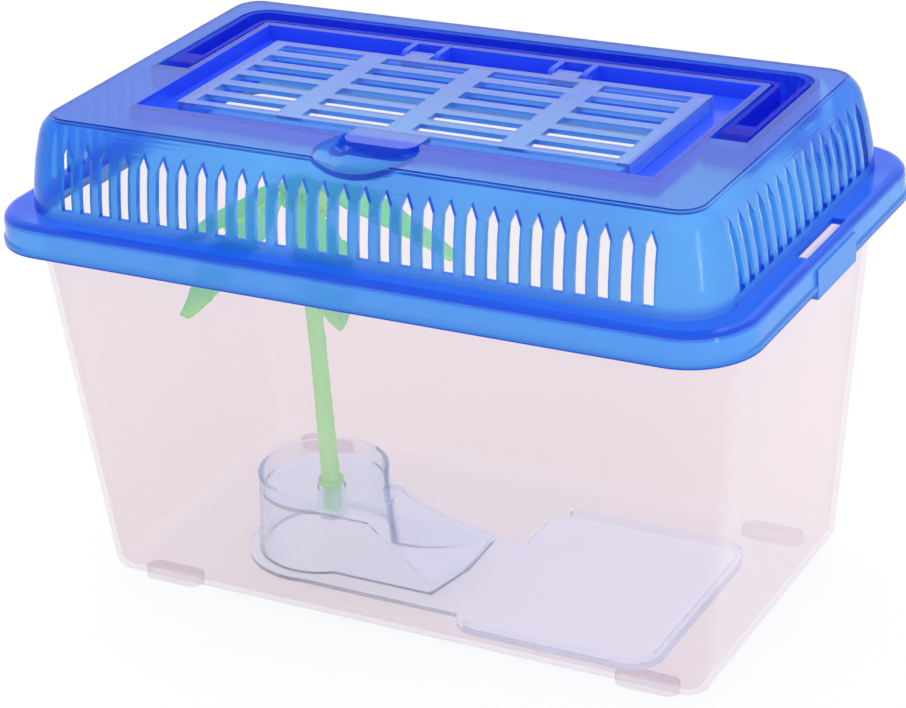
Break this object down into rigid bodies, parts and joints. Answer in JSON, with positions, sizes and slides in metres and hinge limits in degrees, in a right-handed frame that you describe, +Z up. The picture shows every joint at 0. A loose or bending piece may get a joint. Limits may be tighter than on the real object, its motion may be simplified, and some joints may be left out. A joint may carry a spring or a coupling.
{
  "type": "plastic pet keeper",
  "caption": "Clear tapered pet tank with a vented blue snap lid, hinged feeding door, fold-flat carry handle, and a removable turtle island with ramp and palm.",
  "frame": {"origin": "centre of the footprint, on the ground under the foot pads", "axes": "+Z up, +X along the long side, -Y towards the side with the finger scoop"},
  "size_m": [0.3004, 0.184, 0.1925],
  "materials": {
    "clear_plastic": "clear, glossy",
    "blue_plastic": "translucent, glossy",
    "island_plastic": "clear with a faint blue tint",
    "green_plastic": "satin"
  },
  "bodies": {
    "tank": {"tank": "clear_plastic", "feet": "clear_plastic"},
    "lid": {"lid": "blue_plastic"},
    "door": {"door": "blue_plastic"},
    "handle": {"handle": "blue_plastic"},
    "insert": {"insert_plate": "island_plastic", "island": "island_plastic"},
    "palm": {"palm_trunk": "green_plastic", "palm_hub": "green_plastic", "frond_1": "green_plastic", "frond_2": "green_plastic", "frond_3": "green_plastic", "frond_4": "green_plastic", "frond_5": "green_plastic", "frond_6": "green_plastic", "frond_7": "green_plastic"}
  },
  "joints": [
    {"name": "lid_lift", "type": "slide", "parent": "tank", "child": "lid", "axis": [0, 0, 1], "range_m": [0, 0.12]},
    {"name": "door_hinge", "type": "hinge", "parent": "lid", "child": "door", "pos_m": [0, 0.038, 0.1894], "axis": [-1, 0, 0], "range_deg": [0, 130]},
    {"name": "handle_hinge", "type": "hinge", "parent": "lid", "child": "handle", "pos_m": [0, -0.002, 0.1878], "axis": [1, 0, 0], "range_deg": [0, 105]},
    {"name": "island_lift", "type": "slide", "parent": "tank", "child": "insert", "axis": [0, 0, 1], "range_m": [0, 0.01]},
    {"name": "palm_pull", "type": "slide", "parent": "insert", "child": "palm", "axis": [0, 0, 1], "range_m": [0, 0.012]}
  ]
}
